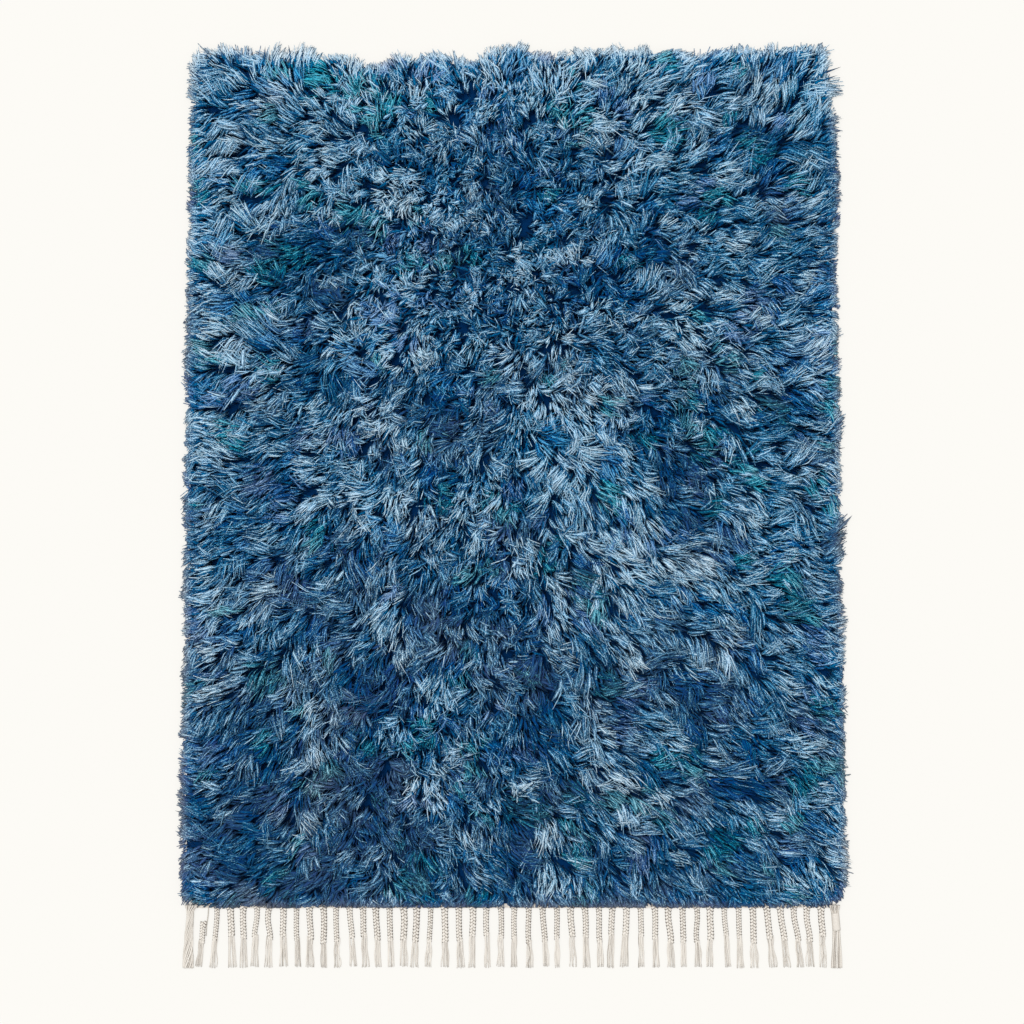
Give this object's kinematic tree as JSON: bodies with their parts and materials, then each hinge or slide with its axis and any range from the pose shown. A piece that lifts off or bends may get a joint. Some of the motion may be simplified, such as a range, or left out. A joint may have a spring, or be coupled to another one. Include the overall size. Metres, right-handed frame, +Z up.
{
  "type": "beni ourain rug",
  "caption": "Flat long-pile wool rug with combed locks and a braided warp fringe along one short end.",
  "frame": {"origin": "on the floor, at the middle of the footprint", "axes": "+X across the rug, +Y along it from the fringed end to the plain end, +Z up through the pile"},
  "size_m": [1.53, 2.1144, 0.042],
  "materials": {
    "pile": "mottled blue woollen yarn, matt with a slight sheen",
    "fringe": "undyed cream warp yarn, matt"
  },
  "bodies": {
    "root": {"pile_and_ground": "pile", "braided_fringe": "fringe"}
  },
  "joints": []
}
